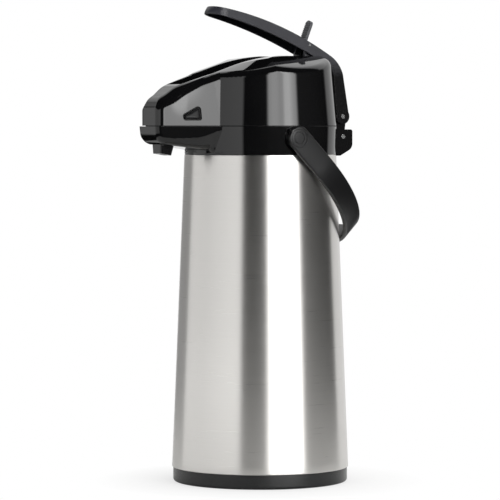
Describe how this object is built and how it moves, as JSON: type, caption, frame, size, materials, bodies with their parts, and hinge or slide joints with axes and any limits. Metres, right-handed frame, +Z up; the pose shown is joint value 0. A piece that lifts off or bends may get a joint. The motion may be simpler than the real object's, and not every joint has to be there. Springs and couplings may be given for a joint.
{
  "type": "airpot",
  "caption": "Insulated steel airpot with a glass flask, a lever pump, a hinged lid with side release buttons, a front spout and a swinging bail handle.",
  "frame": {"origin": "centre of the flat underside, on the axis of the round body", "axes": "+Z up the body's axis, -Y towards the spout, +X to the side with the button seen in the picture"},
  "size_m": [0.16, 0.2094, 0.4289],
  "materials": {
    "brushed_steel": "horizontal brushed",
    "base_plastic": "satin",
    "black_gloss": "polished",
    "nozzle_plastic": "polished",
    "button_plastic": "semi gloss",
    "lever_plastic": "satin",
    "tab_plastic": "satin",
    "handle_plastic": "satin",
    "inner_plastic": "satin",
    "plunger_plastic": "satin",
    "tube_plastic": "satin",
    "flask_glass": "silvered inside",
    "spacer_pad": "matt",
    "foot_rubber": "matt",
    "seal_rubber": "matt",
    "bellows_rubber": "matt",
    "pipe_rubber": "matt",
    "spring_steel": "drawn wire",
    "pin_steel": "ground",
    "pivot_plastic": "satin",
    "screw_steel": "zinc plated"
  },
  "bodies": {
    "vessel": {"outer_shell": "brushed_steel", "thread_ring": "inner_plastic", "base_cap": "base_plastic", "foot_ring": "foot_rubber", "flask_outer": "flask_glass", "flask_inner": "flask_glass", "flask_spacers": "spacer_pad", "liner_cushion": "foot_rubber", "neck_seal": "seal_rubber", "collar": "black_gloss", "mouth_deck": "inner_plastic", "deck_screws": "screw_steel", "tube_carrier": "inner_plastic", "carrier_seal": "seal_rubber", "dip_tube": "tube_plastic", "spout_pipe": "pipe_rubber", "nozzle": "nozzle_plastic", "bail_pins": "pivot_plastic", "lid_pin": "pin_steel"},
    "lid": {"head_cover": "black_gloss", "lid_floor": "inner_plastic", "lid_screws": "screw_steel", "lid_gasket": "seal_rubber", "air_valve": "seal_rubber", "bellows": "bellows_rubber", "return_spring": "spring_steel", "lever_pin": "pin_steel"},
    "plunger": {"pump_plate": "inner_plastic", "plunger": "plunger_plastic"},
    "lever": {"lever": "lever_plastic", "tab_pin": "pin_steel"},
    "lock_tab": {"lock_tab": "tab_plastic"},
    "button_left": {"release_button_left": "button_plastic", "button_spring_left": "spring_steel"},
    "button_right": {"release_button_right": "button_plastic", "button_spring_right": "spring_steel"},
    "bail": {"bail_handle": "handle_plastic"}
  },
  "joints": [
    {"name": "lid_hinge", "type": "hinge", "parent": "vessel", "child": "lid", "pos_m": [0, 0.0784, 0.3121], "axis": [-1, 0, 0], "range_deg": [0, 90]},
    {"name": "lever_hinge", "type": "hinge", "parent": "lid", "child": "lever", "pos_m": [0, 0.0808, 0.3305], "axis": [1, 0, 0], "range_deg": [0, 22], "stiffness_Nm_per_rad": 3, "springref_deg": -11.46},
    {"name": "tab_hinge", "type": "hinge", "parent": "lever", "child": "lock_tab", "pos_m": [0, 0.0447, 0.3952], "axis": [-1, 0, 0], "range_deg": [0, 15]},
    {"name": "plunger_slide", "type": "slide", "parent": "lid", "child": "plunger", "axis": [0, 0, -1], "range_m": [0, 0.0163], "deforming": ["bellows", "return_spring"]},
    {"name": "button_left_slide", "type": "slide", "parent": "lid", "child": "button_left", "axis": [1, 0, 0], "range_m": [0, 0.0025], "stiffness_N_per_m": 400, "springref_m": -0.002},
    {"name": "button_right_slide", "type": "slide", "parent": "lid", "child": "button_right", "axis": [-1, 0, 0], "range_m": [0, 0.0025], "stiffness_N_per_m": 400, "springref_m": -0.002},
    {"name": "bail_hinge", "type": "hinge", "parent": "vessel", "child": "bail", "pos_m": [0, -0.0059, 0.3112], "axis": [1, 0, 0], "range_deg": [0, 140]}
  ],
  "couplings": [
    {"joint": "plunger_slide", "follows": "lever_hinge", "m_per_rad": 0.0424}
  ]
}
